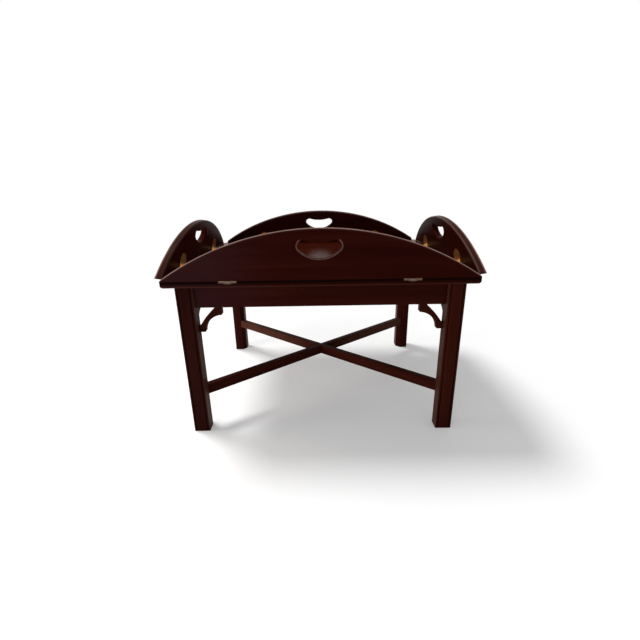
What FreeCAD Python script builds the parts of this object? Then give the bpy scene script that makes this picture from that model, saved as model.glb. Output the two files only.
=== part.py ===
# Butler's tray coffee table. A stand of four legs, aprons, corner brackets and crossed stretchers
# carries a lift-off tray whose four leaves stand up on brass hinges and fold out flat.
# Millimetres. Origin on the floor under the centre, X along the length, -Y to the front, Z up.

import FreeCAD, Part
import math
import os
import re
import Sketcher

os.makedirs("parts", exist_ok=True)
doc = FreeCAD.newDocument("ButlersTrayTable")

driving = {
    # tray panel
    "tray_top": 454,
    "panel_length": 782,
    "panel_width": 608,
    "panel_thickness": 20,
    "panel_edge_round": 8,
    "panel_top_round": 0.5,
    "panel_overhang": 23.5,
    # legs, with a scratched bead line beside each edge of the two outer faces
    "leg_size": 44,
    "leg_chamfer": 14,
    "leg_arris": 2,
    "bead_inset": 6.5,
    "bead_width": 2.4,
    "bead_depth": 1.5,
    # aprons, tenoned into the legs
    "apron_height": 61,
    "apron_thickness": 18,
    "apron_back": 16,
    "tenon_length": 16,
    "tenon_thickness": 8,
    "tenon_shoulder": 8,
    "mortise_relief": 1,
    # curved corner brackets
    "bracket_reach": 66,
    "bracket_drop": 70.5,
    "bracket_thickness": 12,
    "bracket_inset": 6,
    "bracket_arc": 47.5,
    "bracket_back_arc": 200,
    "bracket_ear_start": 46,
    "bracket_ear_top": 54,
    "bracket_ear_step": 4,
    "bracket_round": 4,
    # crossed stretchers, halved together
    "stretcher_top": 133,
    "stretcher_height": 29,
    "stretcher_thickness": 19,
    "stretcher_round": 2.5,
    # glued corner blocks and the cleats that locate the tray
    "block_reach": 60,
    "block_height": 36,
    "block_drop": 14,
    "cleat_long": 480,
    "cleat_short": 320,
    "cleat_width": 20,
    "cleat_height": 12,
    "cleat_gap": 1,
    # leaves and their hand holes, the leaves leaning a few degrees in over the tray
    "leaf_long": 760,
    "leaf_short": 574,
    "leaf_rise_long": 122,
    "leaf_rise_short": 118,
    "leaf_end_height": 5,
    "leaf_thickness": 19,
    "leaf_edge_round": 3.5,
    "leaf_lean": 9,
    "leaf_clearance": 0.3,
    "leaf_lift": 0.2,
    "hole_width_long": 104,
    "hole_width_short": 100,
    "hole_height_long": 42,
    "hole_height_short": 38.5,
    "hole_bottom_long": 50.5,
    "hole_bottom_short": 52,
    "hole_lobe_long": 13,
    "hole_lobe_short": 12,
    "hole_dip_long": 5.5,
    "hole_dip_short": 4.5,
    "hole_round": 4.2,
    # brass hinges
    "hinge_width": 44,
    "hinge_length": 41,
    "hinge_plate": 1.8,
    "hinge_setback": 0.3,
    "hinge_spread_long": 224,
    "hinge_spread_short": 149,
    "knuckle_radius": 1.8,
    "knuckle_drop": 6.2,
    "housing_width": 24,
    "housing_sag": 2.4,
    "eye_width": 14,
    "eye_gap": 0.3,
    "pin_radius": 1.1,
    "pin_clearance": 0.05,
    "recess_gap": 0.2,
    "spring_thickness": 0.5,
    # countersunk screws
    "screw_radius": 1.6,
    "screw_head_radius": 3.2,
    "screw_length": 14,
    "screw_slot_width": 0.8,
    "screw_slot_depth": 0.8,
    "screw_gap": 0.05,
    "screw_side": 14,
    "screw_near": 11,
    "screw_tip": 31,
}

worked = {
    "panel_half_length": "panel_length / 2",
    "panel_half_width": "panel_width / 2",
    "stand_half_length": "panel_half_length - panel_overhang",
    "stand_half_width": "panel_half_width - panel_overhang",
    "leg_height": "tray_top - panel_thickness",
    "leg_flat": "leg_size - leg_chamfer",
    "bead_start": "bead_inset - bead_width / 2",
    "bead_stop": "bead_inset + bead_width / 2",
    "bead_far_start": "leg_size - bead_stop",
    "bead_far": "leg_size - bead_inset",
    "bead_far_stop": "leg_size - bead_start",
    "apron_bottom": "leg_height - apron_height",
    "apron_inner": "leg_size - apron_back",
    "apron_setback": "apron_inner - apron_thickness",
    "apron_half_long": "stand_half_length - leg_size",
    "apron_half_short": "stand_half_width - leg_size",
    "apron_long": "2 * apron_half_long",
    "apron_short": "2 * apron_half_short",
    "apron_out_long": "stand_half_width - apron_setback",
    "apron_out_short": "stand_half_length - apron_setback",
    "tenon_long": "apron_long + 2 * tenon_length",
    "tenon_short": "apron_short + 2 * tenon_length",
    "tenon_depth": "(apron_thickness - tenon_thickness) / 2",
    "tenon_height": "apron_height - 2 * tenon_shoulder",
    "tenon_bottom": "apron_bottom + tenon_shoulder",
    "mortise_inset": "apron_setback + tenon_depth",
    "mortise_depth": "tenon_length + mortise_relief",
    "mortise_start": "leg_size - mortise_depth",
    "bracket_mid": "apron_setback + bracket_inset + bracket_thickness / 2",
    "bracket_out_long": "stand_half_width - bracket_mid",
    "bracket_out_short": "stand_half_length - bracket_mid",
    "bracket_chord": "sqrt(bracket_arc ^ 2 - bracket_round ^ 2)",
    "bracket_lip": "bracket_drop - bracket_arc - bracket_round",
    "bracket_tip": "bracket_reach - bracket_round",
    "bracket_tip_low": "bracket_drop - bracket_chord",
    "bracket_foot": "bracket_reach - bracket_chord",
    "bracket_foot_low": "bracket_drop - bracket_round",
    "bracket_toe": "bracket_reach - bracket_arc - bracket_round",
    "bracket_nose": "(bracket_round ^ 2 + (bracket_tip_low - bracket_lip) ^ 2) / (2 * bracket_round)",
    "stretcher_bottom": "stretcher_top - stretcher_height",
    "stretcher_half_height": "stretcher_height / 2",
    "stretcher_half": "stretcher_thickness / 2",
    "stretcher_end_x": "apron_half_long + leg_chamfer / 2",
    "stretcher_end_y": "apron_half_short + leg_chamfer / 2",
    "stretcher_end_sum": "stretcher_end_x + stretcher_end_y",
    "stretcher_reach": "sqrt(stretcher_end_x ^ 2 + stretcher_end_y ^ 2)",
    "stretcher_cos": "stretcher_end_x / stretcher_reach",
    "stretcher_sin": "stretcher_end_y / stretcher_reach",
    "stretcher_skew": "stretcher_half * (stretcher_cos - stretcher_sin)",
    "stretcher_left_run": "(stretcher_end_sum - stretcher_skew) / (stretcher_cos + stretcher_sin)",
    "stretcher_right_run": "(stretcher_end_sum + stretcher_skew) / (stretcher_cos + stretcher_sin)",
    "stretcher_left_x": "stretcher_left_run * stretcher_cos - stretcher_half * stretcher_sin",
    "stretcher_left_y": "stretcher_left_run * stretcher_sin + stretcher_half * stretcher_cos",
    "stretcher_right_x": "stretcher_right_run * stretcher_cos + stretcher_half * stretcher_sin",
    "stretcher_right_y": "stretcher_right_run * stretcher_sin - stretcher_half * stretcher_cos",
    "block_near": "2 * leg_size - leg_chamfer - apron_inner",
    "block_far": "apron_inner + block_reach",
    "block_bottom": "leg_height - block_drop - block_height",
    "cleat_out_long": "stand_half_width - apron_inner - cleat_gap",
    "cleat_out_short": "stand_half_length - apron_inner - cleat_gap",
    "cleat_bottom": "leg_height - cleat_height",
    "leaf_half_long": "leaf_long / 2",
    "leaf_half_short": "leaf_short / 2",
    "leaf_end_top": "leaf_lift + leaf_end_height",
    "leaf_sag_long": "leaf_rise_long - leaf_end_top",
    "leaf_sag_short": "leaf_rise_short - leaf_end_top",
    "leaf_arc_long": "(leaf_half_long ^ 2 + leaf_sag_long ^ 2) / (2 * leaf_sag_long)",
    "leaf_arc_short": "(leaf_half_short ^ 2 + leaf_sag_short ^ 2) / (2 * leaf_sag_short)",
    "hinge_half": "hinge_width / 2",
    "hinge_straight": "hinge_length - hinge_half",
    "axis_out": "knuckle_radius + leaf_clearance",
    "knuckle_out": "axis_out + knuckle_radius",
    "lean_in": "knuckle_radius * sin(leaf_lean) - axis_out * (1 - cos(leaf_lean))",
    "lean_up": "-axis_out * sin(leaf_lean) - knuckle_radius * (1 - cos(leaf_lean))",
    "leaf_plate_start": "leaf_lift + hinge_setback",
    "leaf_plate_straight": "hinge_straight + leaf_lift",
    "leaf_plate_tip": "hinge_length + leaf_lift",
    "housing_half": "housing_width / 2",
    "housing_arc": "(housing_half ^ 2 + housing_sag ^ 2) / (2 * housing_sag)",
    "slot_width": "eye_width + 2 * eye_gap",
    "slot_drop": "2 * knuckle_radius + eye_gap + spring_thickness",
    "spring_width": "2 * knuckle_radius",
    "bore_radius": "pin_radius + pin_clearance",
    "recess_half": "hinge_half + recess_gap",
    "recess_tip": "hinge_length + recess_gap",
    "recess_straight": "recess_tip - recess_half",
    "leaf_outer": "leaf_clearance + leaf_thickness",
    "leaf_recess_depth": "leaf_clearance + hinge_plate",
    "leaf_recess_straight": "recess_straight + leaf_lift",
    "leaf_recess_tip": "recess_tip + leaf_lift",
    "screw_head_depth": "screw_head_radius - screw_radius",
    "screw_shank": "screw_length - screw_head_depth",
    "screw_hole_radius": "screw_radius + screw_gap",
    "screw_seat_radius": "screw_head_radius + screw_gap",
    "screw_hole_width": "2 * screw_hole_radius",
    "screw_seat_width": "2 * screw_seat_radius",
    "screw_pilot_depth": "screw_length + screw_gap",
    "screw_leaf_near": "screw_near + leaf_lift",
    "screw_leaf_tip": "screw_tip + leaf_lift",
}

# each hand hole is two round lobes above a wide bowl, with a crest that dips between the lobes
holeShape = {
    "hole_lobe_x": "hole_width / 2 - hole_lobe",
    "hole_lobe_low": "hole_height - hole_lobe",
    "hole_lobe_z": "hole_bottom + hole_lobe_low",
    "hole_bowl": "(hole_lobe_low ^ 2 + hole_lobe_x ^ 2 - hole_lobe ^ 2) / (2 * (hole_lobe_low - hole_lobe))",
    "hole_bowl_share": "hole_bowl / (hole_bowl - hole_lobe)",
    "hole_low_x": "hole_lobe_x * hole_bowl_share",
    "hole_low_z": "hole_bottom + hole_bowl + (hole_lobe_low - hole_bowl) * hole_bowl_share",
    "hole_dip_rise": "hole_lobe - hole_dip",
    "hole_crest": "(hole_lobe_x ^ 2 + hole_dip_rise ^ 2 - hole_lobe ^ 2) / (2 * hole_dip)",
    "hole_crest_share": "hole_lobe / (hole_crest + hole_lobe)",
    "hole_high_x": "hole_lobe_x * (1 - hole_crest_share)",
    "hole_high_z": "hole_lobe_z + (hole_dip_rise + hole_crest) * hole_crest_share",
}
for span in ("long", "short"):
    for name, formula in holeShape.items():
        worked[name + "_" + span] = re.sub(r"hole_\w+", lambda found: found.group() + "_" + span, formula)

sizes = doc.addObject("Spreadsheet::Sheet", "Sizes")
rows = [(name, str(value)) for name, value in driving.items()]
rows += [(name, "=" + formula) for name, formula in worked.items()]
for row, (name, text) in enumerate(rows, start=1):
    sizes.set("A%d" % row, name)
    sizes.set("B%d" % row, text)
    sizes.setAlias("B%d" % row, name)
doc.recompute()

finished = []


def size(name):
    # a name may carry a minus sign, and "0" is the origin
    if name == "0":
        return 0.0
    if name.startswith("-"):
        return -float(getattr(sizes, name[1:]))
    return float(getattr(sizes, name))


def bound(name):
    if name == "0":
        return "0"
    if name.startswith("-"):
        return "-Sizes." + name[1:]
    return "Sizes." + name


def minus(name):
    if name == "0":
        return name
    return name[1:] if name.startswith("-") else "-" + name


def bind(item, **properties):
    for name, value in properties.items():
        item.setExpression(name, bound(value))


def place(item, x="0", y="0", z="0", turn=0):
    item.Placement = FreeCAD.Placement(
        FreeCAD.Vector(size(x), size(y), size(z)), FreeCAD.Rotation(FreeCAD.Vector(0, 0, 1), turn))
    for axis, name in (("x", x), ("y", y), ("z", z)):
        if name != "0":
            item.setExpression("Placement.Base." + axis, bound(name))


def placeLeaf(item, x, y, turn):
    # upright against the tray's edge, then tipped in about the hinge pins
    spot = "vector(%s; %s; Sizes.tray_top)" % (bound(x), bound(y))
    upright = "placement(%s; rotation(vector(0; 0; 1); %d))" % (spot, turn)
    lean = "rotation(vector(1; 0; 0); -Sizes.leaf_lean)"
    tipped = "placement(vector(0; Sizes.lean_in; Sizes.lean_up); %s)" % lean
    item.setExpression("Placement", upright + " * " + tipped)
    doc.recompute()


def turned(along, out, quarter):
    # a place beside the front edge, turned to the right, rear or left edge
    return ((along, minus(out)), (out, along), (minus(along), out), (minus(out), minus(along)))[quarter]


def newBody(name):
    return doc.addObject("PartDesign::Body", name)


def newSketch(body, name, plane, lift="0"):
    # a lift moves the sketch along its plane's normal
    sketch = body.newObject("Sketcher::SketchObject", body.Name + name)
    base = [item for item in body.Origin.OriginFeatures if item.Role == plane][0]
    sketch.AttachmentSupport = [(base, "")]
    sketch.MapMode = "FlatFace"
    if lift != "0":
        sketch.AttachmentOffset = FreeCAD.Placement(FreeCAD.Vector(0, 0, size(lift)), FreeCAD.Rotation())
        sketch.setExpression("AttachmentOffset.Base.z", bound(lift))
    return sketch


def arcBetween(start, end, radius, bend):
    # bend is "left" or "right" for a short arc turning that way, "long left" for the long way round
    chord = end - start
    reach = math.sqrt(max(radius ** 2 - (chord.Length / 2) ** 2, 0))
    side = FreeCAD.Vector(-chord.y, chord.x, 0).normalize()
    towards = 1 if bend == "left" else -1
    centre = (start + end) * 0.5 + side * (reach * towards)
    angles = [math.atan2(point.y - centre.y, point.x - centre.x) for point in (start, end)]
    if bend == "right":
        angles.reverse()
    circle = Part.Circle(centre, FreeCAD.Vector(0, 0, 1), radius)
    return Part.ArcOfCircle(circle, angles[0], angles[1])


def hold(sketch, kind, *where):
    # one driven constraint; the last word is the size that it follows
    name = where[-1]
    index = sketch.addConstraint(Sketcher.Constraint(kind, *where[:-1], size(name)))
    if name != "0":
        sketch.setExpression("Constraints[%d]" % index, bound(name))


def drawLoop(sketch, corners, bends=None):
    # corners are pairs of sizes, and bends gives the radius and turn of the arcs that leave them
    bends = bends or {}
    points = [FreeCAD.Vector(size(x), size(y), 0) for x, y in corners]
    ends = []
    for index, start in enumerate(points):
        end = points[(index + 1) % len(points)]
        if index in bends:
            radius, bend = bends[index]
            edge = sketch.addGeometry(arcBetween(start, end, size(radius), bend), False)
            ends.append((edge, 2, 1) if bend == "right" else (edge, 1, 2))
        else:
            edge = sketch.addGeometry(Part.LineSegment(start, end), False)
            ends.append((edge, 1, 2))
    for index, (edge, first, last) in enumerate(ends):
        following, begin, _ = ends[(index + 1) % len(ends)]
        sketch.addConstraint(Sketcher.Constraint("Coincident", edge, last, following, begin))
    for index, (edge, first, last) in enumerate(ends):
        hold(sketch, "DistanceX", -1, 1, edge, first, corners[index][0])
        hold(sketch, "DistanceY", -1, 1, edge, first, corners[index][1])
        if index in bends:
            hold(sketch, "Radius", edge, bends[index][0])


def drawCircle(sketch, x, y, radius):
    centre = FreeCAD.Vector(size(x), size(y), 0)
    edge = sketch.addGeometry(Part.Circle(centre, FreeCAD.Vector(0, 0, 1), size(radius)), False)
    hold(sketch, "DistanceX", -1, 1, edge, 3, x)
    hold(sketch, "DistanceY", -1, 1, edge, 3, y)
    hold(sketch, "Radius", edge, radius)


def pad(body, sketch, length, both=False):
    feature = body.newObject("PartDesign::Pad", sketch.Name + "Pad")
    feature.Profile = sketch
    feature.Midplane = both
    bind(feature, Length=length)
    doc.recompute()
    return feature


def pocket(body, sketch, depth, both=False):
    before = body.Shape.Volume
    feature = body.newObject("PartDesign::Pocket", sketch.Name + "Pocket")
    feature.Profile = sketch
    feature.Midplane = both
    bind(feature, Length=depth)
    doc.recompute()
    if body.Shape.Volume >= before:
        raise ValueError(feature.Name + " cuts nothing")
    return feature


def roundEdges(body, name, base, radius, chosen):
    edges = ["Edge%d" % number for number, edge in enumerate(base.Shape.Edges, start=1) if chosen(edge)]
    feature = body.newObject("PartDesign::Fillet", body.Name + name)
    feature.Base = (base, edges)
    bind(feature, Radius=radius)
    doc.recompute()
    return feature


def block(body, name, kind, corner, lengths):
    # a box added to a body or taken from it
    feature = body.newObject(kind, body.Name + name)
    bind(feature, Length=lengths[0], Width=lengths[1], Height=lengths[2])
    place(feature, *corner)
    doc.recompute()
    return feature


def finish(item, label):
    item.Label = label
    finished.append(item)
    return item


def legs():
    outline = [("leg_arris", "0"), ("bead_start", "0"), ("bead_inset", "bead_depth"), ("bead_stop", "0"),
               ("bead_far_start", "0"), ("bead_far", "bead_depth"), ("bead_far_stop", "0"),
               ("leg_size", "0"), ("leg_size", "leg_flat")]
    outline += [(y, x) for x, y in reversed(outline)]
    corners = (("front_left", "-stand_half_length", "-stand_half_width"),
               ("front_right", "stand_half_length", "-stand_half_width"),
               ("rear_right", "stand_half_length", "stand_half_width"),
               ("rear_left", "-stand_half_length", "stand_half_width"))
    blockOutline = [("block_near", "apron_inner"), ("block_far", "apron_inner"),
                    ("apron_inner", "block_far"), ("apron_inner", "block_near")]
    for quarter, (name, x, y) in enumerate(corners):
        leg = newBody("Leg" + name)
        profile = newSketch(leg, "Profile", "XY_Plane")
        drawLoop(profile, outline, {len(outline) - 1: ("leg_arris", "left")})
        pad(leg, profile, "leg_height")
        block(leg, "MortiseAlong", "PartDesign::SubtractiveBox",
              ("mortise_start", "mortise_inset", "tenon_bottom"),
              ("mortise_depth", "tenon_thickness", "tenon_height"))
        block(leg, "MortiseAcross", "PartDesign::SubtractiveBox",
              ("mortise_inset", "mortise_start", "tenon_bottom"),
              ("tenon_thickness", "mortise_depth", "tenon_height"))
        place(leg, x, y, turn=90 * quarter)
        finish(leg, "leg_" + name)
        corner = newBody("CornerBlock" + name)
        shape = newSketch(corner, "Profile", "XY_Plane")
        drawLoop(shape, blockOutline)
        pad(corner, shape, "block_height")
        place(corner, x, y, "block_bottom", 90 * quarter)
        finish(corner, "corner_block_" + name)


def aprons():
    sides = ("front", "right", "rear", "left")
    for quarter, side in enumerate(sides):
        span = "long" if quarter % 2 == 0 else "short"
        apron = newBody("Apron" + side)
        block(apron, "Rail", "PartDesign::AdditiveBox", ("-apron_half_" + span, "0", "0"),
              ("apron_" + span, "apron_thickness", "apron_height"))
        tenon = block(apron, "Tenon", "PartDesign::AdditiveBox", ("0", "tenon_depth", "tenon_shoulder"),
                      ("tenon_" + span, "tenon_thickness", "tenon_height"))
        tenon.setExpression("Placement.Base.x", "-Sizes.tenon_%s / 2" % span)
        x, y = turned("0", "apron_out_" + span, quarter)
        place(apron, x, y, "apron_bottom", 90 * quarter)
        finish(apron, "apron_" + side)
        cleat = newBody("Cleat" + side)
        strip = block(cleat, "Strip", "PartDesign::AdditiveBox", ("0", "0", "0"),
                      ("cleat_" + span, "cleat_width", "cleat_height"))
        strip.setExpression("Placement.Base.x", "-Sizes.cleat_%s / 2" % span)
        x, y = turned("0", "cleat_out_" + span, quarter)
        place(cleat, x, y, "cleat_bottom", 90 * quarter)
        finish(cleat, "tray_cleat_" + side)


def brackets():
    outline = [("bracket_ear_start", "0"), ("bracket_reach", "0"), ("bracket_reach", "-bracket_lip"),
               ("bracket_tip", "-bracket_tip_low"), ("bracket_foot", "-bracket_foot_low"),
               ("bracket_toe", "-bracket_drop"), ("0", "-bracket_drop"), ("0", "-bracket_ear_top"),
               ("bracket_ear_step", "-bracket_ear_top"), ("bracket_ear_start", "-bracket_ear_step")]
    bends = {2: ("bracket_nose", "right"), 3: ("bracket_arc", "left"), 4: ("bracket_nose", "right"),
             8: ("bracket_back_arc", "right")}
    seats = (("front_apron_left", "-apron_half_long", "-bracket_out_long", 0),
             ("front_apron_right", "apron_half_long", "-bracket_out_long", 180),
             ("right_apron_front", "bracket_out_short", "-apron_half_short", 90),
             ("right_apron_rear", "bracket_out_short", "apron_half_short", 270),
             ("rear_apron_right", "apron_half_long", "bracket_out_long", 180),
             ("rear_apron_left", "-apron_half_long", "bracket_out_long", 0),
             ("left_apron_rear", "-bracket_out_short", "apron_half_short", 270),
             ("left_apron_front", "-bracket_out_short", "-apron_half_short", 90))
    for name, x, y, turn in seats:
        bracket = newBody("Bracket" + name)
        profile = newSketch(bracket, "Profile", "XZ_Plane")
        drawLoop(profile, outline, bends)
        pad(bracket, profile, "bracket_thickness", both=True)
        place(bracket, x, y, "apron_bottom", turn)
        finish(bracket, "bracket_" + name)


def stretchers():
    # each bar's ends are cut to the leg chamfers, and each takes half the other at the crossing
    bar = [("stretcher_right_x", "stretcher_right_y"), ("stretcher_left_x", "stretcher_left_y"),
           ("-stretcher_right_x", "-stretcher_right_y"), ("-stretcher_left_x", "-stretcher_left_y")]
    mirrored = [(x, minus(y)) for x, y in bar]
    for name, outline, other, lap in (("lower", bar, mirrored, "stretcher_height"),
                                      ("upper", mirrored, bar, "stretcher_half_height")):
        stretcher = newBody("Stretcher" + name)
        plan = newSketch(stretcher, "Plan", "XY_Plane")
        drawLoop(plan, outline)
        pad(stretcher, plan, "stretcher_height")
        notch = newSketch(stretcher, "Notch", "XY_Plane", lap)
        drawLoop(notch, other)
        halved = pocket(stretcher, notch, "stretcher_half_height")
        top = size("stretcher_height")
        wide = 2 * size("stretcher_thickness")
        roundEdges(stretcher, "Eased", halved, "stretcher_round",
                   lambda edge: edge.Length > wide and edge.BoundBox.ZMin > top - 0.001)
        place(stretcher, z="stretcher_bottom")
        finish(stretcher, "stretcher_" + name)


def hingeOutline(half, start, straight, tip):
    # a tongue with a half-round end
    corners = [("-" + half, start), (half, start), (half, straight), ("0", tip), ("-" + half, straight)]
    return corners, {2: (half, "left"), 3: (half, "left")}


def screwPlaces(near, tip):
    return (("-screw_side", near), ("screw_side", near), ("0", tip))


def drillScrews(body, sketch, reverse):
    hole = body.newObject("PartDesign::Hole", sketch.Name + "Hole")
    hole.Profile = sketch
    hole.ThreadType = "None"
    hole.DepthType = "ThroughAll"
    hole.HoleCutType = "Countersink"
    hole.HoleCutCustomValues = True
    hole.HoleCutCountersinkAngle = 90
    hole.Reversed = reverse
    bind(hole, Diameter="screw_hole_width", HoleCutDiameter="screw_seat_width")
    doc.recompute()


def trayPlate(name):
    plate = newBody("TrayPlate" + name)
    tongue = newSketch(plate, "Tongue", "XY_Plane", "-hinge_plate")
    drawLoop(tongue, *hingeOutline("hinge_half", "-axis_out", "hinge_straight", "hinge_length"))
    pad(plate, tongue, "hinge_plate")
    knuckle = newSketch(plate, "Knuckle", "YZ_Plane")
    drawLoop(knuckle, [("0", "0"), ("0", "-knuckle_drop"), ("-knuckle_out", "-knuckle_drop"),
                       ("-knuckle_out", "-knuckle_radius"), ("-axis_out", "0")],
             {3: ("knuckle_radius", "right")})
    pad(plate, knuckle, "hinge_width", both=True)
    # the middle of the knuckle hangs lower, under the catch spring
    housing = newSketch(plate, "Housing", "XZ_Plane")
    drawLoop(housing, [("-housing_half", "-knuckle_drop"), ("housing_half", "-knuckle_drop")],
             {0: ("housing_arc", "left")})
    pad(plate, housing, "knuckle_out")
    slot = newSketch(plate, "Slot", "YZ_Plane")
    drawLoop(slot, [("eye_gap", "eye_gap"), ("-hinge_half", "eye_gap"), ("-hinge_half", "-slot_drop"),
                    ("eye_gap", "-slot_drop")])
    pocket(plate, slot, "slot_width", both=True)
    bore = newSketch(plate, "Bore", "YZ_Plane")
    drawCircle(bore, "-axis_out", "-knuckle_radius", "bore_radius")
    pocket(plate, bore, "hinge_width", both=True)
    screws = newSketch(plate, "Screws", "XY_Plane")
    for x, y in screwPlaces("screw_near", "screw_tip"):
        drawCircle(screws, x, y, "screw_hole_radius")
    drillScrews(plate, screws, False)
    return plate


def leafPlate(name):
    plate = newBody("LeafPlate" + name)
    tongue = newSketch(plate, "Tongue", "XZ_Plane", "leaf_clearance")
    drawLoop(tongue, *hingeOutline("hinge_half", "leaf_plate_start", "leaf_plate_straight", "leaf_plate_tip"))
    pad(plate, tongue, "hinge_plate")
    eye = newSketch(plate, "Eye", "YZ_Plane")
    drawLoop(eye, [("-leaf_clearance", "eye_width"), ("-axis_out", "eye_width"), ("-axis_out", "0"),
                   ("-leaf_clearance", "-knuckle_radius")], {2: ("knuckle_radius", "long left")})
    pad(plate, eye, "eye_width", both=True)
    bore = newSketch(plate, "Bore", "YZ_Plane")
    drawCircle(bore, "-axis_out", "-knuckle_radius", "bore_radius")
    pocket(plate, bore, "hinge_width", both=True)
    screws = newSketch(plate, "Screws", "XZ_Plane", "leaf_clearance")
    for x, z in screwPlaces("screw_leaf_near", "screw_leaf_tip"):
        drawCircle(screws, x, z, "screw_hole_radius")
    drillScrews(plate, screws, True)
    return plate


def roundsOf(*radii):
    # picks the circular edges that have one of the named radii
    wanted = [size(name) for name in radii]

    def chosen(edge):
        if edge.Curve.TypeId != "Part::GeomCircle":
            return False
        return any(abs(edge.Curve.Radius - radius) < 1e-4 for radius in wanted)
    return chosen


def leafBlank(side, span):
    # an arched board with a kidney-shaped hand hole
    half = "leaf_half_" + span
    arc = "leaf_arc_" + span
    leaf = newBody("Leaf" + side)
    arch = newSketch(leaf, "Arch", "XZ_Plane", "leaf_clearance")
    drawLoop(arch, [("-" + half, "leaf_lift"), (half, "leaf_lift"), (half, "leaf_end_top"),
                    ("-" + half, "leaf_end_top")], {2: (arc, "left")})
    pad(leaf, arch, "leaf_thickness")
    grip = newSketch(leaf, "Grip", "XZ_Plane", "leaf_outer")
    names = ("bowl", "lobe", "crest", "low_x", "low_z", "high_x", "high_z")
    bowl, lobe, crest, lowX, lowZ, highX, highZ = ["hole_%s_%s" % (name, span) for name in names]
    drawLoop(grip, [(minus(lowX), lowZ), (lowX, lowZ), (highX, highZ), (minus(highX), highZ)],
             {0: (bowl, "left"), 1: (lobe, "left"), 2: (crest, "right"), 3: (lobe, "left")})
    pierced = pocket(leaf, grip, "leaf_thickness")
    rounded = roundEdges(leaf, "TopRound", pierced, "leaf_edge_round", roundsOf(arc))
    roundEdges(leaf, "GripRound", rounded, "hole_round", roundsOf(bowl, lobe, crest))
    return leaf


def panelBlank():
    panel = newBody("Panel")
    plan = newSketch(panel, "Plan", "XY_Plane")
    drawLoop(plan, [("-panel_half_length", "-panel_half_width"), ("panel_half_length", "-panel_half_width"),
                    ("panel_half_length", "panel_half_width"), ("-panel_half_length", "panel_half_width")])
    board = pad(panel, plan, "panel_thickness")
    top = size("panel_thickness")
    under = roundEdges(panel, "UnderRound", board, "panel_edge_round",
                       lambda edge: edge.BoundBox.ZMax < 0.001)
    roundEdges(panel, "TopRound", under, "panel_top_round", lambda edge: edge.BoundBox.ZMin > top - 0.001)
    place(panel, z="leg_height")
    return panel


def recess(name, plane, lift, start, straight, tip, depth):
    # the bed that a hinge plate is let into
    tool = newBody(name)
    outline = newSketch(tool, "Outline", plane, lift)
    drawLoop(outline, *hingeOutline("recess_half", start, straight, tip))
    pad(tool, outline, depth)
    return tool.Shape


def primitive(kind, name, **lengths):
    item = doc.addObject(kind, name)
    bind(item, **lengths)
    doc.recompute()
    return item


def group(name, shapes):
    item = doc.addObject("Part::Feature", name)
    item.Shape = Part.makeCompound(shapes)
    return item


def cutAway(name, base, *tools):
    for number, tool in enumerate(tools, start=1):
        cut = doc.addObject("Part::Cut", "%sCut%d" % (name, number))
        cut.Base = base
        cut.Tool = tool
        base = cut
    doc.recompute()
    return base


def moved(shape, placement):
    copy = shape.copy()
    copy.Placement = placement.multiply(copy.Placement)
    return copy


def shift(x, y, z, turn=0):
    # a place in a hinge's own frame, tipped about the edge
    return FreeCAD.Placement(FreeCAD.Vector(x, y, z), FreeCAD.Rotation(FreeCAD.Vector(1, 0, 0), turn))


def screwSeats():
    # in the tray plate the screws point down, in the leaf plate they point outwards
    tray = [shift(size(x), size(y), 0) for x, y in screwPlaces("screw_near", "screw_tip")]
    leaf = [shift(size(x), size("-leaf_clearance"), size(z), -90)
            for x, z in screwPlaces("screw_leaf_near", "screw_leaf_tip")]
    return tray, leaf


def driven(number):
    # each screw's slot stops at an angle of its own
    return FreeCAD.Placement(FreeCAD.Vector(), FreeCAD.Rotation(FreeCAD.Vector(0, 0, 1), 53 * number % 180))


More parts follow.
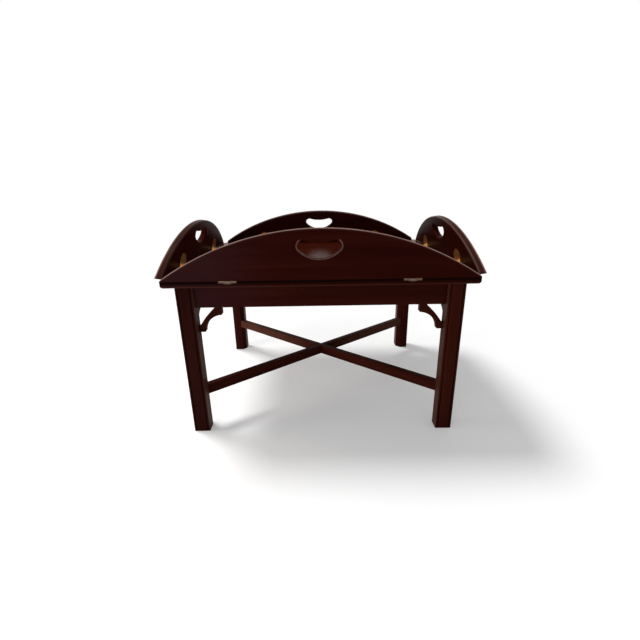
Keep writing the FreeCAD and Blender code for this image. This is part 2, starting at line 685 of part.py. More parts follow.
def trayAndLeaves():
    trayBed = recess("TrayRecess", "XY_Plane", "-hinge_plate", "-axis_out", "recess_straight", "recess_tip",
                     "hinge_plate")
    leafBed = recess("LeafRecess", "XZ_Plane", "0", "0", "leaf_recess_straight", "leaf_recess_tip",
                     "leaf_recess_depth")
    shank = primitive("Part::Cylinder", "ScrewShank", Radius="screw_radius", Height="screw_shank")
    place(shank, z="-screw_length")
    head = primitive("Part::Cone", "ScrewHead", Radius1="screw_radius", Radius2="screw_head_radius",
                     Height="screw_head_depth")
    place(head, z="-screw_head_depth")
    blank = doc.addObject("Part::Fuse", "ScrewBlank")
    blank.Base = shank
    blank.Tool = head
    slot = primitive("Part::Box", "ScrewSlot", Length="screw_seat_width", Width="screw_slot_width",
                     Height="screw_slot_depth")
    place(slot, "-screw_seat_radius", "0", "-screw_slot_depth")
    slot.setExpression("Placement.Base.y", "-Sizes.screw_slot_width / 2")
    screw = cutAway("Screw", blank, slot)
    pilot = primitive("Part::Cylinder", "ScrewPilot", Radius="screw_hole_radius", Height="screw_pilot_depth")
    place(pilot, z="-screw_pilot_depth")
    pin = primitive("Part::Cylinder", "HingePin", Radius="pin_radius", Height="hinge_width")
    spring = primitive("Part::Box", "CatchSpring", Length="eye_width", Width="spring_width",
                       Height="spring_thickness")
    doc.recompute()
    pinEnd = FreeCAD.Vector(size("-hinge_half"), size("-axis_out"), size("-knuckle_radius"))
    pinSeat = FreeCAD.Placement(pinEnd, FreeCAD.Rotation(FreeCAD.Vector(0, 1, 0), 90))
    springSeat = shift(-size("eye_width") / 2, size("-knuckle_out"), size("-slot_drop"))
    trayScrews, leafScrews = screwSeats()
    beds, pilots, screws, pins, springs = [], [], [], [], []
    for quarter, side in enumerate(("front", "right", "rear", "left")):
        span, half = ("long", "panel_half_width") if quarter % 2 == 0 else ("short", "panel_half_length")
        leaf = leafBlank(side, span)
        placeLeaf(leaf, *turned("0", half, quarter), 90 * quarter)
        leafBeds, leafPilots, leafFixings = [], [], []
        for number, along in enumerate(("-hinge_spread_" + span, "hinge_spread_" + span), start=1):
            x, y = turned(along, half, quarter)
            name = "%s_%d" % (side, number)
            lower = trayPlate(name)
            place(lower, x, y, "tray_top", 90 * quarter)
            finish(lower, "tray_hinge_plate_" + name)
            upper = leafPlate(name)
            placeLeaf(upper, x, y, 90 * quarter)
            finish(upper, "leaf_hinge_plate_" + name)
            here, tipped = lower.Placement, upper.Placement
            beds.append(moved(trayBed, here))
            leafBeds.append(moved(leafBed, tipped))
            pins.append(moved(pin.Shape, here.multiply(pinSeat)))
            springs.append(moved(spring.Shape, here.multiply(springSeat)))
            for at in trayScrews:
                pilots.append(moved(pilot.Shape, here.multiply(at)))
                screws.append(moved(screw.Shape, here.multiply(at).multiply(driven(len(screws)))))
            for at in leafScrews:
                leafPilots.append(moved(pilot.Shape, tipped.multiply(at)))
                turn = driven(len(leafFixings) + quarter)
                leafFixings.append(moved(screw.Shape, tipped.multiply(at).multiply(turn)))
        board = cutAway("Leaf" + side, leaf, group("LeafBeds" + side, leafBeds),
                        group("LeafPilots" + side, leafPilots))
        finish(board, "leaf_board_" + side)
        finish(group("LeafScrews" + side, leafFixings), "leaf_screws_" + side)
    panel = cutAway("Panel", panelBlank(), group("TrayBeds", beds), group("TrayPilots", pilots))
    finish(panel, "tray_panel")
    finish(group("TrayScrews", screws), "tray_screws")
    finish(group("HingePins", pins), "hinge_pins")
    finish(group("CatchSprings", springs), "hinge_springs")


legs()
aprons()
brackets()
stretchers()
trayAndLeaves()
doc.recompute()

failed = [item.Name for item in doc.Objects if "Invalid" in item.State or "Error" in item.State]
failed += [item.Label for item in finished if item.Shape.isNull() or not item.Shape.isValid()]
if failed:
    raise ValueError("not built: " + ", ".join(failed))
for item in finished:
    item.Shape.exportStep("parts/%s.step" % item.Label)
print(len(finished), "pieces written")
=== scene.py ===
import math

import bpy
from mathutils import Matrix, Vector


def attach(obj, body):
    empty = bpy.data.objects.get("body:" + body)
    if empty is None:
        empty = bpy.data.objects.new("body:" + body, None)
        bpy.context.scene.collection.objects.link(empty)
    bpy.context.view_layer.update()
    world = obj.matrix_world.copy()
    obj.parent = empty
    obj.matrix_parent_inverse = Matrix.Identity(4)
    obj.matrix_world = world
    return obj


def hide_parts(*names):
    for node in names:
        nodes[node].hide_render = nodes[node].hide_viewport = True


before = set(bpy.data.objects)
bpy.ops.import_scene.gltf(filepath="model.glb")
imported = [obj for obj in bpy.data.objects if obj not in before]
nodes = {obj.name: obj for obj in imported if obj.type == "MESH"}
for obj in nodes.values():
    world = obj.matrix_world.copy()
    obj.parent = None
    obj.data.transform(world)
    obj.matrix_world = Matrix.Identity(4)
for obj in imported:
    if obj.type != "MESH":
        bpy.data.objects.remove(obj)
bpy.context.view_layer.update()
scene = bpy.context.scene
scene.view_settings.view_transform = "Standard"
print("frame loaded,", len(nodes), "pieces")


# small helpers for the node trees
def newMaterial(name):
    material = bpy.data.materials.new(name)
    material.use_nodes = True
    tree = material.node_tree
    return material, tree, tree.nodes["Principled BSDF"]


def objectPlace(tree):
    return tree.nodes.new("ShaderNodeTexCoord").outputs["Object"]


def mapping(tree, source, scale=(1, 1, 1), turn=(0, 0, 0), move=(0, 0, 0)):
    node = tree.nodes.new("ShaderNodeMapping")
    node.inputs["Location"].default_value = move
    node.inputs["Rotation"].default_value = turn
    node.inputs["Scale"].default_value = scale
    tree.links.new(source, node.inputs["Vector"])
    return node.outputs["Vector"]


def axes(tree, source):
    node = tree.nodes.new("ShaderNodeSeparateXYZ")
    tree.links.new(source, node.inputs["Vector"])
    return node.outputs


def noise(tree, source, scale, detail, rough, warp=0.0):
    node = tree.nodes.new("ShaderNodeTexNoise")
    node.inputs["Scale"].default_value = scale
    node.inputs["Detail"].default_value = detail
    node.inputs["Roughness"].default_value = rough
    node.inputs["Distortion"].default_value = warp
    tree.links.new(source, node.inputs["Vector"])
    return node.outputs["Fac"]


def streaks(tree, source, stretch, *look):
    # noise drawn out along the grain
    return noise(tree, mapping(tree, source, stretch), *look)


def ramp(tree, source, stops):
    node = tree.nodes.new("ShaderNodeValToRGB")
    band = node.color_ramp
    while len(band.elements) < len(stops):
        band.elements.new(0.5)
    for element, (place, colour) in zip(band.elements, stops):
        element.position = place
        element.color = (*colour, 1)
    tree.links.new(source, node.inputs["Fac"])
    return node.outputs["Color"]


def grey(level):
    return (level, level, level)


def fade(tree, source, start, end, low, high):
    # a grey that goes from low to high between two levels of a pattern
    return ramp(tree, source, [(start, grey(low)), (end, grey(high))])


def blend(tree, kind, amount, first, second):
    node = tree.nodes.new("ShaderNodeMix")
    node.data_type = "RGBA"
    node.blend_type = kind
    if isinstance(amount, float):
        node.inputs["Factor"].default_value = amount
    else:
        tree.links.new(amount, node.inputs["Factor"])
    for socket, value in ((node.inputs["A"], first), (node.inputs["B"], second)):
        if isinstance(value, tuple):
            socket.default_value = (*value, 1)
        else:
            tree.links.new(value, socket)
    return node.outputs["Result"]


def span(tree, source, low, high):
    node = tree.nodes.new("ShaderNodeMapRange")
    node.inputs["To Min"].default_value = low
    node.inputs["To Max"].default_value = high
    tree.links.new(source, node.inputs["Value"])
    return node.outputs["Result"]


def step(tree, source, start, end):
    # 0 before the start, 1 after the end
    node = tree.nodes.new("ShaderNodeMapRange")
    node.interpolation_type = "SMOOTHSTEP"
    node.inputs["From Min"].default_value = start
    node.inputs["From Max"].default_value = end
    tree.links.new(source, node.inputs["Value"])
    return node.outputs["Result"]


def reckon(tree, kind, *sources):
    node = tree.nodes.new("ShaderNodeMath")
    node.operation = kind
    for source, socket in zip(sources, node.inputs):
        tree.links.new(source, socket)
    return node.outputs["Value"]


def multiply(tree, first, second):
    return reckon(tree, "MULTIPLY", first, second)


def larger(tree, first, second):
    return reckon(tree, "MAXIMUM", first, second)


def patches(tree, source, look, low, high):
    # an uneven mask, from the noise's scale, detail and roughness
    return span(tree, noise(tree, source, *look), low, high)


def spread(tree, place):
    # how far from the middle of the table, along X and along Y
    parts = axes(tree, place)
    return [reckon(tree, "ABSOLUTE", parts[axis]) for axis in "XY"]


def bump(tree, source, strength, depth, shader):
    node = tree.nodes.new("ShaderNodeBump")
    node.inputs["Strength"].default_value = strength
    node.inputs["Distance"].default_value = depth
    tree.links.new(source, node.inputs["Height"])
    tree.links.new(node.outputs["Normal"], shader.inputs["Normal"])


# the leaves: half the panel, the arch's radius and rise, the hand hole's bottom, bowl and lobes
longLeaf = {"half": 0.304, "radius": 0.67655, "rise": 0.1220,
            "holeBottom": 0.0505, "bowl": 0.06853, "lobePlace": (0.0390, 0.0795), "lobe": 0.0130}
shortLeaf = {"half": 0.391, "radius": 0.42151, "rise": 0.1180,
             "holeBottom": 0.0520, "bowl": 0.06904, "lobePlace": (0.0380, 0.0785), "lobe": 0.0120}
# each with its turn from the front
leaves = {"front": (longLeaf, 0.0), "right": (shortLeaf, math.pi / 2),
          "rear": (longLeaf, math.pi), "left": (shortLeaf, -math.pi / 2)}

arch = {
    "lean": math.radians(9),
    "axisOut": 0.0021, "axisHeight": 0.4522,  # the hinge line, from the panel's edge and the floor
    "panelAbove": 0.0018,  # the panel's top above the hinge line
    "outer": -0.0172, "inner": 0.0018,  # the two faces of a leaf
    "edgeRound": 0.0035,
    "merge": 0.000002, "cuts": 3, "smoothAngle": 35,
    "cutBelow": 0.0004,  # how far below the rounded edge the new cuts start
    "slack": 0.00001,
    "endKept": 0.0002,  # the flat ends stay where they are
}


# model.glb gives the rounded arch edges few facets, so a finer copy of each board stands for it
def onRound(point, radius, ends):
    # moves a point of the rounded edge out to the true arch and its rounded corners
    small = arch["edgeRound"]
    reach = math.hypot(point.x, point.z)
    if reach < radius - small - arch["slack"] or abs(point.x) > ends:
        return point
    outside = point.y - arch["outer"] < arch["inner"] - point.y
    depth = point.y - arch["outer"] if outside else arch["inner"] - point.y
    rise, sink = reach - radius + small, depth - small
    if sink < 0:
        grow = small / math.hypot(rise, sink)
        rise, sink = rise * grow, sink * grow
    else:
        rise = small
    wider = (radius - small + rise) / reach
    depth = small + sink
    y = arch["outer"] + depth if outside else arch["inner"] - depth
    return Vector((point.x * wider, y, point.z * wider))


def uprightLeaf(side):
    # turns a leaf to the front, stands it upright and puts the middle of its arch at the origin
    leaf, turn = leaves[side]
    toAxis = Matrix.Translation((0, leaf["half"] + arch["axisOut"], -arch["axisHeight"]))
    facing = toAxis @ Matrix.Rotation(-turn, 4, "Z")
    upright = Matrix.Rotation(arch["lean"], 4, "X")
    lift = -arch["panelAbove"] - leaf["rise"] + leaf["radius"]
    return Matrix.Translation((0, 0, lift)) @ upright @ facing


def copyBoard(side):
    board = bpy.data.objects.new("leaf_arch_" + side, nodes["leaf_board_" + side].data.copy())
    scene.collection.objects.link(board)
    bpy.ops.object.select_all(action="DESELECT")
    board.select_set(True)
    bpy.context.view_layer.objects.active = board
    bpy.ops.mesh.customdata_custom_splitnormals_clear()
    bpy.ops.object.mode_set(mode="EDIT")
    bpy.ops.mesh.select_mode(type="FACE")
    bpy.ops.mesh.select_all(action="SELECT")
    bpy.ops.mesh.remove_doubles(threshold=arch["merge"])
    bpy.ops.mesh.select_all(action="DESELECT")
    bpy.ops.object.mode_set(mode="OBJECT")
    return board


def smoothArch(side):
    radius = leaves[side][0]["radius"]
    toArch = uprightLeaf(side)
    board = copyBoard(side)
    places = [toArch @ vertex.co for vertex in board.data.vertices]
    edge = radius - arch["edgeRound"] - arch["cutBelow"]
    for face in board.data.polygons:
        face.select = all(math.hypot(places[i].x, places[i].z) > edge for i in face.vertices)
    bpy.ops.object.mode_set(mode="EDIT")
    bpy.ops.mesh.subdivide(number_cuts=arch["cuts"])
    bpy.ops.object.mode_set(mode="OBJECT")
    ends = max(abs(place.x) for place in places) - arch["endKept"]
    back = toArch.inverted()
    for vertex in board.data.vertices:
        vertex.co = back @ onRound(toArch @ vertex.co, radius, ends)
    bpy.ops.object.shade_smooth_by_angle(angle=math.radians(arch["smoothAngle"]))
    weigh = board.modifiers.new("flat_faces", "WEIGHTED_NORMAL")
    weigh.keep_sharp = True
    bpy.ops.object.modifier_apply(modifier=weigh.name)
    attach(board, "leaf_" + side)
    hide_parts("leaf_board_" + side)
    return board


smoothed = {"leaf_board_" + side: smoothArch(side) for side in leaves}
print("arched edges smoothed on", len(smoothed), "leaves")


def paint(names, material):
    for name in names:
        pieces = [nodes[name]]
        if name in smoothed:
            pieces.append(smoothed[name])
        for piece in pieces:
            piece.data.materials.clear()
            piece.data.materials.append(material)


# the stain is rubbed thin along the arched top of a leaf, and a painted highlight makes it paler still,
# most of all on its outer arris
archWearAndHighlight = {
    "band": 0.008,
    "arris": (0.0034, 0.0012),  # below the top of the arch
    "corner": (0.0060, 0.0022),  # in from a face
    # how far the inner arris is made paler as well, by wear and painted highlight
    "inside": {"front": 0.1, "right": 0.22, "rear": 0.1, "left": 0.05},
    "lipInner": (-0.0002, 0.0016), "lipOuter": (0.0046, 0.0028),  # out from the hand hole
    "bowlTop": 0.070, "bowlFade": 0.008,
    "lobeSide": (0.84, 0.94),
    "patches": (22.0, 3.0, 0.6),
    "bandPatches": (0.5, 1.0), "lipPatches": (0.2, 0.8), "arrisPatches": (0.3, 0.9),
}


def fromMiddle(tree, source):
    # distance in the leaf's own face
    flat = tree.nodes.new("ShaderNodeVectorMath")
    flat.operation = "MULTIPLY"
    flat.inputs[1].default_value = (1, 0, 1)
    tree.links.new(source, flat.inputs[0])
    reach = tree.nodes.new("ShaderNodeVectorMath")
    reach.operation = "LENGTH"
    tree.links.new(flat.outputs["Vector"], reach.inputs[0])
    return reach.outputs["Value"]


def rim(tree, source, radius):
    # a ring just outside a circle
    distance = fromMiddle(tree, source)
    inner, outer = [step(tree, distance, radius + start, radius + end)
                    for start, end in (archWearAndHighlight["lipInner"], archWearAndHighlight["lipOuter"])]
    return multiply(tree, inner, outer)


def holeLip(tree, upright, leaf):
    # the lip of the hand hole, where fingers rub and a highlight is painted: its bowl, and the outer sides
    # of its lobes
    parts = axes(tree, upright)
    down = leaf["rise"] - leaf["radius"]
    middle = (0, 0, down - leaf["holeBottom"] - leaf["bowl"])
    top = archWearAndHighlight["bowlTop"] - leaf["rise"] + leaf["radius"]
    lip = multiply(tree, rim(tree, mapping(tree, upright, move=middle), leaf["bowl"]),
                   step(tree, parts["Z"], top, top - archWearAndHighlight["bowlFade"]))
    lobeX, lobeZ = leaf["lobePlace"]
    for way in (-1, 1):
        ring = rim(tree, mapping(tree, upright, move=(way * lobeX, 0, down - lobeZ)), leaf["lobe"])
        start, end = [-way * (lobeX + leaf["lobe"]) * part for part in archWearAndHighlight["lobeSide"]]
        lip = larger(tree, lip, multiply(tree, ring, step(tree, parts["X"], start, end)))
    return lip


# wear and a painted highlight on the arched top, its arris and the hand hole's lip
def wornAndHighlitArch(tree, place, side):
    leaf, turn = leaves[side]
    radius = leaf["radius"]
    # turn the leaf to the front, move its hinge line to the origin, and stand it upright
    toAxis = (0, leaf["half"] + arch["axisOut"], -arch["axisHeight"])
    facing = mapping(tree, place, turn=(0, 0, -turn), move=toAxis)
    lift = -arch["panelAbove"] - leaf["rise"] + radius
    upright = mapping(tree, facing, turn=(arch["lean"], 0, 0), move=(0, 0, lift))
    depth = axes(tree, upright)["Y"]
    distance = fromMiddle(tree, upright)
    band = step(tree, distance, radius - archWearAndHighlight["band"], radius)
    outside = step(tree, depth, *[arch["outer"] + part for part in archWearAndHighlight["corner"]])
    inside = step(tree, depth, *[arch["inner"] - part for part in archWearAndHighlight["corner"]])
    corners = larger(tree, outside, span(tree, inside, 0.0, archWearAndHighlight["inside"][side]))
    arris = multiply(tree, step(tree, distance, *[radius - part for part in archWearAndHighlight["arris"]]), corners)
    lip = multiply(tree, holeLip(tree, upright, leaf), outside)
    patchy = noise(tree, place, *archWearAndHighlight["patches"])
    return [multiply(tree, mask, span(tree, patchy, *archWearAndHighlight[look]))
            for mask, look in ((band, "bandPatches"), (lip, "lipPatches"), (arris, "arrisPatches"))]


# painted shade darkens the bead grooves of the legs
legs = {
    "faces": (0.3675, 0.2805),
    "size": 0.044,
    "bead": 0.0065,  # a groove, in from the leg's corner
    "beadFade": (0.0016, 0.0006),  # from the middle of a groove, where the dark starts and is full
    "faceFade": (0.0022, 0.0018),  # in from the face
    "stretcherIn": 0.007,  # how far the stretchers run into the legs' inner corners
}


def line(tree, source, middle):
    before = step(tree, source, *[middle - part for part in legs["beadFade"]])
    return multiply(tree, before, step(tree, source, *[middle + part for part in legs["beadFade"]]))


# painted shade in the bead grooves
def beadShade(tree, place):
    out = spread(tree, place)
    sides = []
    for here, across in ((0, 1), (1, 0)):
        face = legs["faces"][here]
        outer = line(tree, out[here], face - legs["bead"])
        inner = line(tree, out[here], face - legs["size"] + legs["bead"])
        onFace = step(tree, out[across], *[legs["faces"][across] - part for part in legs["faceFade"]])
        sides.append(multiply(tree, larger(tree, outer, inner), onFace))
    return larger(tree, *sides)


# painted reflection: a bluish sheen is painted at the left of the front; painted light: the legs' inner
# faces and the rear half of the stretchers are painted lighter, as where light falls
leftSheen = {
    "pieces": ("leaf_board_front", "apron_front", "tray_panel"),
    "along": (-0.08, -0.34),  # where it starts and is full
    "patches": ((9.0, 3.0, 0.5), 0.4, 0.95),
}
paintedLight = {
    "legInside": 0.3235,
    "legFade": (0.0012, 0.0004),
    "stretcher": (-0.02, 0.11),
    "patches": ((30.0, 3.0, 0.6), 0.3, 1.0),
}


# painted reflection: a bluish sheen painted on the left of the front pieces
def paintedSheen(tree, place):
    left = step(tree, axes(tree, place)["X"], *leftSheen["along"])
    return multiply(tree, left, patches(tree, place, *leftSheen["patches"]))


# painted light: the legs' inner faces are painted lighter, as if lit from the side
def innerFace(tree, place):
    face = step(tree, spread(tree, place)[0], *[paintedLight["legInside"] + part for part in paintedLight["legFade"]])
    return multiply(tree, face, patches(tree, place, *paintedLight["patches"]))


# painted light: the rear half of each stretcher is painted lighter, as if lit
def rearHalf(tree, place):
    rear = step(tree, axes(tree, place)["Y"], *paintedLight["stretcher"])
    return multiply(tree, rear, patches(tree, place, *paintedLight["patches"]))


# the panel: a polished top, painted shade in the joint below the leaves, and a painted highlight on the
# lower edge
panel = {
    "edges": (0.391, 0.304),
    "polish": (0.4534, 0.4539),  # heights, as for the joint and the turn
    "topStretch": (1.0, 6.0, 1.0),
    "topPatches": ((6.0, 4.0, 0.6), 0.2, 0.9),
    "joint": (0.4385, 0.4495),
    "jointIn": (0.0012, 0.0002),  # in from the edge
    "turnLow": (0.4350, 0.4358), "turnHigh": (0.4382, 0.4370),
    "turnIn": (0.0075, 0.0065),
}


def polished(tree, place):
    return step(tree, axes(tree, place)["Z"], *panel["polish"])


def panelTop(tree, place):
    # the top is a lighter, redder shade, unevenly
    patchy = patches(tree, mapping(tree, place, panel["topStretch"]), *panel["topPatches"])
    return multiply(tree, polished(tree, place), patchy)


def panelEdge(tree, place, reach):
    # along the four edges of the panel
    return larger(tree, *[step(tree, out, *[edge - part for part in reach])
                          for out, edge in zip(spread(tree, place), panel["edges"])])


# painted shade in the joint under the leaves' overhang
def jointShade(tree, place):
    upper = step(tree, axes(tree, place)["Z"], *panel["joint"])
    return multiply(tree, panelEdge(tree, place, panel["jointIn"]), upper)


# painted highlight: a paler line along the panel's rounded lower edge
def lowerEdgeHighlight(tree, place):
    height = axes(tree, place)["Z"]
    turn = multiply(tree, step(tree, height, *panel["turnLow"]), step(tree, height, *panel["turnHigh"]))
    return multiply(tree, panelEdge(tree, place, panel["turnIn"]), turn)


# stained and polished wood, with the grain running along each piece
wood = {
    "dark": (0.025, 0.0027, 0.0015),
    "middle": (0.033, 0.0039, 0.0022),
    "light": (0.044, 0.0062, 0.0035),
    "pore": (0.012, 0.0015, 0.0010),
    # paler where the arch, its lip and its arris are rubbed, and paler still by a painted highlight
    "worn": (0.044, 0.0165, 0.0125),
    "arris": (0.480, 0.2950, 0.2450),
    "lip": (0.250, 0.1300, 0.1000),
    # a painted highlight on the panel's lower edge, painted shade in the grooves and the joint, painted
    # light on the faces that catch it, a painted bluish reflection, and the panel top's lighter, redder
    # shade
    "edge": (0.050, 0.0150, 0.0105),
    "paintedShade": (0.005, 0.0012, 0.0010),
    "paintedLight": (0.080, 0.0310, 0.0200),
    "paintedSheen": (0.032, 0.0095, 0.0115),
    "lighterTop": (0.050, 0.0075, 0.0034),
    "logStep": (0.37, 0.113, 0.071),
    # each pattern's stretch, scale, detail, roughness and warp
    "figure": ((1.0, 15.0, 15.0), 2.6, 5.0, 0.55, 0.35),
    "ribbon": ((0.7, 5.0, 5.0), 2.0, 2.0, 0.5, 0.2),
    "fibre": ((5.0, 190.0, 190.0), 4.0, 4.0, 0.6),
    "pores": ((34.0, 620.0, 620.0), 3.0, 2.0, 0.5),
    "figureStops": (0.28, 0.5, 0.74),
    "streakDepth": 0.4,
    # two levels of a pattern, and the grey at each
    "ribbonFade": (0.3, 0.7, 0.6, 1.0),
    "fibreFade": (0.3, 0.65, 0.6, 1.0),
    "poreFade": (0.60, 0.70, 0.0, 1.0),
    "pitFade": (0.60, 0.72, 1.0, 0.0),
    "pitStrength": 0.12, "pitDepth": 0.0002,
    "rough": (0.25, 0.36),
    "roughTop": (0.14, 0.22), "roughUnder": (0.36, 0.0),
    "shine": 0.012,
    "shineTint": (1.0, 0.70, 0.60, 1.0),
}


def stainedGrain(tree, board, tone):
    figure, ribbon, fibre, pores = [streaks(tree, board, *wood[look])
                                    for look in ("figure", "ribbon", "fibre", "pores")]
    shades = [tuple(a * b for a, b in zip(wood[shade], tone)) for shade in ("dark", "middle", "light")]
    stain = ramp(tree, figure, list(zip(wood["figureStops"], shades)))
    for pattern, look in ((ribbon, "ribbonFade"), (fibre, "fibreFade")):
        stain = blend(tree, "MULTIPLY", wood["streakDepth"], stain, fade(tree, pattern, *wood[look]))
    stain = blend(tree, "MIX", fade(tree, pores, *wood["poreFade"]), stain, wood["pore"])
    return stain, figure, pores


def wearAndPaintedLight(tree, place, name):
    # the shades that show on a piece, from wear and from painted light and shade, each with its mask, the
    # last on top
    marks = []
    if name in leftSheen["pieces"]:
        marks.append(("paintedSheen", paintedSheen(tree, place)))
    if name.startswith("leaf_board"):
        # the arch's band, lip and arris: wear and a painted highlight
        marks += zip(("worn", "lip", "arris"), wornAndHighlitArch(tree, place, name.split("_")[-1]))
    if name.startswith("leg_"):
        marks += [("paintedLight", innerFace(tree, place)), ("paintedShade", beadShade(tree, place))]
    if name.startswith("stretcher"):
        marks.append(("paintedLight", rearHalf(tree, place)))
    if name == "tray_panel":
        marks += [("lighterTop", panelTop(tree, place)), ("paintedShade", jointShade(tree, place)),
                  ("edge", lowerEdgeHighlight(tree, place))]
    return marks


def roughness(tree, place, figure, name):
    if name != "tray_panel":
        return span(tree, figure, *wood["rough"])
    # the top is polished, the edges and the underside are not
    under = span(tree, polished(tree, place), *wood["roughUnder"])
    return reckon(tree, "ADD", span(tree, figure, *wood["roughTop"]), under)


def mahogany(name, turn, tone, number):
    material, tree, shader = newMaterial("wood_" + name)
    place = objectPlace(tree)
    # each board is cut from another spot of the log
    board = mapping(tree, place, turn=turn, move=[part * number for part in wood["logStep"]])
    stain, figure, pores = stainedGrain(tree, board, tone)
    for shade, mask in wearAndPaintedLight(tree, place, name):
        stain = blend(tree, "MIX", mask, stain, wood[shade])
    tree.links.new(stain, shader.inputs["Base Color"])
    tree.links.new(roughness(tree, place, figure, name), shader.inputs["Roughness"])
    shader.inputs["Specular IOR Level"].default_value = wood["shine"]
    shader.inputs["Specular Tint"].default_value = wood["shineTint"]
    bump(tree, fade(tree, pores, *wood["pitFade"]), wood["pitStrength"], wood["pitDepth"], shader)
    return material


alongX = (0, 0, 0)
alongY = (0, 0, -math.pi / 2)
alongZ = (0, math.pi / 2, 0)
slantX = (0, -math.pi / 4, 0)
slantY = (math.pi / 4, 0, -math.pi / 2)
# the stretchers run between the legs' inner corners
cornerX, cornerY = [face - legs["size"] + legs["stretcherIn"] for face in legs["faces"]]
diagonal = math.atan2(cornerY, cornerX)
apronTone = (1.12, 1.50, 1.65)
bracketTone = (1.20, 1.70, 1.90)
leafTone = (0.92, 1.00, 1.05)
# which way the grain runs, and how much redder or paler the board is than the others; the tones also hold
# painted light: the legs, most of all the right ones, and one stretcher are lighter where they catch more
# light
grain = {
    "leg_front_left": (alongZ, (0.90, 1.60, 2.00)), "leg_front_right": (alongZ, (1.40, 1.90, 2.00)),
    "leg_rear_left": (alongZ, (1.05, 1.70, 2.00)), "leg_rear_right": (alongZ, (1.35, 1.80, 1.90)),
    "apron_front": (alongX, apronTone), "apron_rear": (alongX, apronTone),
    "apron_left": (alongY, apronTone), "apron_right": (alongY, apronTone),
    "bracket_front": (slantX, bracketTone), "bracket_rear": (slantX, bracketTone),
    "bracket_left": (slantY, bracketTone), "bracket_right": (slantY, bracketTone),
    "stretcher_lower": ((0, 0, -diagonal), (1.10, 1.60, 1.80)),
    "stretcher_upper": ((0, 0, diagonal), (1.60, 2.40, 2.70)),
    "leaf_board_front": (alongX, leafTone), "leaf_board_rear": (alongX, leafTone),
    "leaf_board_left": (alongY, (1.45, 1.05, 0.80)), "leaf_board_right": (alongY, (1.10, 1.00, 0.80)),
    "tray_panel": (alongX, (1.05, 1.25, 1.15)),
}
woodCount = 0
for start, (turn, tone) in grain.items():
    for name in sorted(nodes):
        if name.startswith(start):
            woodCount += 1
            paint([name], mahogany(name, turn, tone, woodCount))
print("polished wood on", woodCount, "pieces")


# plain pale wood on the blocks and cleats that don't show
plainWood = {
    "dark": (0.20, 0.105, 0.050), "light": (0.36, 0.215, 0.115),
    "rings": ((1.5, 30.0, 30.0), 3.0, 4.0, 0.6, 0.3),
    "fibre": ((9.0, 260.0, 260.0), 4.0, 3.0, 0.6),
    "ringStops": (0.3, 0.7),
    "streakDepth": 0.4,
    "fibreFade": (0.3, 0.7, 0.6, 1.0),
    "rough": (0.55, 0.75),
    "fibreStrength": 0.15, "fibreDepth": 0.0003,
}


def paleWood(name, turn):
    material, tree, shader = newMaterial(name)
    board = mapping(tree, objectPlace(tree), turn=turn)
    rings = streaks(tree, board, *plainWood["rings"])
    fibre = streaks(tree, board, *plainWood["fibre"])
    shades = (plainWood["dark"], plainWood["light"])
    colour = ramp(tree, rings, list(zip(plainWood["ringStops"], shades)))
    lines = fade(tree, fibre, *plainWood["fibreFade"])
    colour = blend(tree, "MULTIPLY", plainWood["streakDepth"], colour, lines)
    tree.links.new(colour, shader.inputs["Base Color"])
    tree.links.new(span(tree, fibre, *plainWood["rough"]), shader.inputs["Roughness"])
    bump(tree, fibre, plainWood["fibreStrength"], plainWood["fibreDepth"], shader)
    return material


paint(["tray_cleat_front", "tray_cleat_rear"], paleWood("pale_wood_long", alongX))
paint(["tray_cleat_left", "tray_cleat_right"], paleWood("pale_wood_short", alongY))
paint([name for name in nodes if name.startswith("corner_block")], paleWood("pale_wood_block", alongZ))
print("pale wood done")


# rubbed brass with some tarnish
brass = {
    "tarnish": (0.40, 0.190, 0.045),
    "worn": (0.76, 0.41, 0.100),
    "bright": (0.95, 0.55, 0.145),
    "shadedBrass": (0.105, 0.066, 0.050),
    "dullBelow": (0.4534, 0.4522),
    "clouds": (90.0, 5.0, 0.6, 0.4),
    "cloudStops": (0.30, 0.44, 0.62),
    "scratchStretch": (40.0, 900.0, 900.0),
    "scratches": (2.0, 2.0, 0.5),
    "scratchShade": 0.3,
    "scratchFade": (0.35, 0.6, 0.7, 1.0),
    "scratchStrength": 0.08, "scratchDepth": 0.0001,
    "rough": (0.42, 0.20),
}


def rubbedBrass(name, along):
    material, tree, shader = newMaterial(name)
    place = objectPlace(tree)
    clouds = noise(tree, place, *brass["clouds"])
    scratches = noise(tree, mapping(tree, place, brass["scratchStretch"], along), *brass["scratches"])
    shades = [brass[shade] for shade in ("tarnish", "worn", "bright")]
    colour = ramp(tree, clouds, list(zip(brass["cloudStops"], shades)))
    lines = fade(tree, scratches, *brass["scratchFade"])
    colour = blend(tree, "MULTIPLY", brass["scratchShade"], colour, lines)
    # painted shade: the knuckles below the panel's top sit under the leaves and are painted darker and
    # greyer
    below = step(tree, axes(tree, place)["Z"], *brass["dullBelow"])
    colour = blend(tree, "MIX", below, colour, brass["shadedBrass"])
    tree.links.new(colour, shader.inputs["Base Color"])
    tree.links.new(span(tree, clouds, *brass["rough"]), shader.inputs["Roughness"])
    shader.inputs["Metallic"].default_value = 1.0
    bump(tree, scratches, brass["scratchStrength"], brass["scratchDepth"], shader)
    return material


brassLong = rubbedBrass("brass_long", alongX)
brassShort = rubbedBrass("brass_short", alongY)
for name in nodes:
    if "hinge_plate" in name:
        paint([name], brassLong if "front" in name or "rear" in name else brassShort)
paint(["hinge_pins", "tray_screws"] + [name for name in nodes if name.startswith("leaf_screws")], brassLong)


# drawn steel of the catch springs
steel = {
    "lines": ((60.0, 700.0, 700.0), 2.0, 3.0, 0.5),
    "lineFade": (0.3, 0.7, 0.28, 0.48),
    "rough": (0.28, 0.45),
}


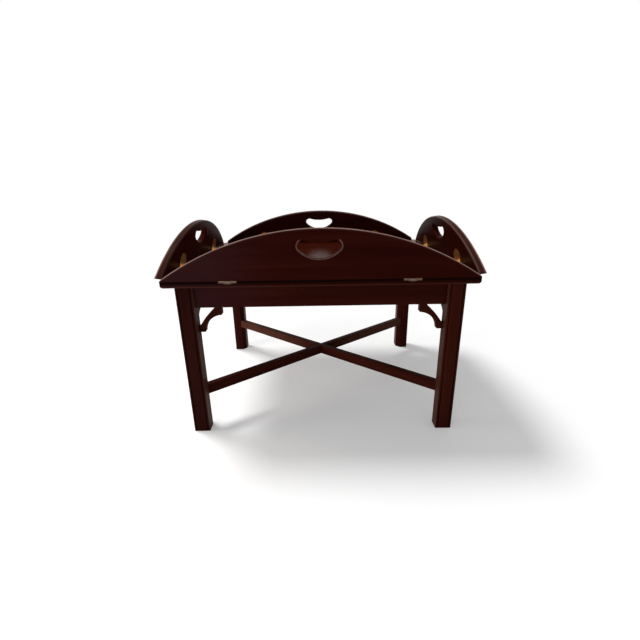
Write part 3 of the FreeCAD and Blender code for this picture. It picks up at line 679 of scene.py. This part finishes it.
def springSteel():
    material, tree, shader = newMaterial("spring_steel")
    lines = streaks(tree, objectPlace(tree), *steel["lines"])
    tree.links.new(fade(tree, lines, *steel["lineFade"]), shader.inputs["Base Color"])
    tree.links.new(span(tree, lines, *steel["rough"]), shader.inputs["Roughness"])
    shader.inputs["Metallic"].default_value = 1.0
    return material


paint(["hinge_springs"], springSteel())
print("brass and steel done")


# pale floor that keeps the shadow
floorLook = {
    "size": 60.0, "drop": 0.0003,
    "colour": (0.85, 0.85, 0.85, 1), "rough": 0.9, "shine": 0.0,
    "seen": (0.75, 0.75, 0.75, 1), "lift": 0.25,
}


def whiteFor(tree):
    # true for what the camera sees, straight or in a shiny or clear surface
    path = tree.nodes.new("ShaderNodeLightPath")
    shiny = larger(tree, path.outputs["Is Glossy Ray"], path.outputs["Is Transmission Ray"])
    return larger(tree, path.outputs["Is Camera Ray"], shiny)


def choose(tree, chosen, plain, seen, output):
    mix = tree.nodes.new("ShaderNodeMixShader")
    tree.links.new(chosen, mix.inputs["Fac"])
    tree.links.new(plain, mix.inputs[1])
    tree.links.new(seen, mix.inputs[2])
    tree.links.new(mix.outputs["Shader"], tree.nodes[output].inputs["Surface"])


def makeFloor():
    bpy.ops.object.select_all(action="DESELECT")
    bpy.ops.mesh.primitive_plane_add(size=floorLook["size"], location=(0, 0, -floorLook["drop"]))
    floor = bpy.context.object
    floor.name = "floor"
    material, tree, shader = newMaterial("floor_white")
    shader.inputs["Base Color"].default_value = floorLook["colour"]
    shader.inputs["Roughness"].default_value = floorLook["rough"]
    shader.inputs["Specular IOR Level"].default_value = floorLook["shine"]
    shadow = tree.nodes.new("ShaderNodeBsdfDiffuse")
    shadow.inputs["Color"].default_value = floorLook["seen"]
    lift = tree.nodes.new("ShaderNodeEmission")
    lift.inputs["Strength"].default_value = floorLook["lift"]
    both = tree.nodes.new("ShaderNodeAddShader")
    tree.links.new(shadow.outputs["BSDF"], both.inputs[0])
    tree.links.new(lift.outputs["Emission"], both.inputs[1])
    choose(tree, whiteFor(tree), shader.outputs["BSDF"], both.outputs["Shader"], "Material Output")
    floor.data.materials.append(material)


makeFloor()


# soft light all round, a lamp high at the rear left, a window at the front left and a low lamp at the left
light = {
    "colour": (1, 1, 1, 1),
    "ambient": 0.40, "white": 1.0,
    "lampPower": 2.15, "lampAngle": 16.0, "lampFrom": (-0.45, 0.26, 1.0), "lampPlace": (-1.5, 1.7, 3.0),
    "areas": {
        "window_lamp": {"power": 6.0, "size": 0.5, "colour": (0.74, 0.83, 1.0),
                        "place": (-1.05, -2.4, 0.8), "aim": (0.0, 0.0, 0.4)},
        "low_lamp": {"power": 6.0, "size": 0.4, "colour": (1.0, 0.92, 0.84),
                     "place": (-1.15, -0.25, 0.36), "aim": (0.0, 0.05, 0.12)},
    },
}


def makeWorld():
    world = bpy.data.worlds.new("studio")
    scene.world = world
    world.use_nodes = True
    tree = world.node_tree
    soft = tree.nodes["Background"]
    white = tree.nodes.new("ShaderNodeBackground")
    for background, strength in ((soft, light["ambient"]), (white, light["white"])):
        background.inputs["Color"].default_value = light["colour"]
        background.inputs["Strength"].default_value = strength
    choose(tree, whiteFor(tree), soft.outputs["Background"], white.outputs["Background"], "World Output")


def makeLamp(kind, name, place, power, away):
    bpy.ops.object.light_add(type=kind, location=place)
    lamp = bpy.context.object
    lamp.name = name
    lamp.data.energy = power
    lamp.rotation_euler = away.to_track_quat("Z", "Y").to_euler()
    return lamp.data


def makeLight():
    makeWorld()
    key = makeLamp("SUN", "key_lamp", light["lampPlace"], light["lampPower"], Vector(light["lampFrom"]))
    key.angle = math.radians(light["lampAngle"])
    for name, area in light["areas"].items():
        away = Vector(area["place"]) - Vector(area["aim"])
        lamp = makeLamp("AREA", name, area["place"], area["power"], away)
        lamp.size = area["size"]
        lamp.color = area["colour"]


makeLight()
print("floor and light done")


# the photograph's view
view = {
    "place": (0.0006, -1.0969, 0.6657),
    "yaw": -0.465,
    "pitch": 17.148,
    "roll": -1.051,
    "sensor": 36,
    # in the photograph's pixels: its side, the lens and the point straight ahead
    "side": 640,
    "lens": 339.28,
    "straightAhead": (317.78, 292.01),
}


def makeCamera():
    yaw, pitch, roll = (math.radians(view[name]) for name in ("yaw", "pitch", "roll"))
    ahead = Vector((math.sin(yaw) * math.cos(pitch), math.cos(yaw) * math.cos(pitch), -math.sin(pitch)))
    level = Vector((math.cos(yaw), -math.sin(yaw), 0))
    upright = level.cross(ahead)
    right = level * math.cos(roll) + upright * math.sin(roll)
    up = upright * math.cos(roll) - level * math.sin(roll)
    data = bpy.data.cameras.new("photo_view")
    data.sensor_width = view["sensor"]
    data.lens = view["lens"] / view["side"] * view["sensor"]
    aheadX, aheadY = view["straightAhead"]
    data.shift_x = (view["side"] / 2 - aheadX) / view["side"]
    data.shift_y = (aheadY - view["side"] / 2) / view["side"]
    camera = bpy.data.objects.new("photo_view", data)
    scene.collection.objects.link(camera)
    turn = Matrix((right, up, -ahead)).transposed().to_4x4()
    camera.matrix_world = Matrix.Translation(view["place"]) @ turn
    scene.camera = camera


makeCamera()
print("camera set")
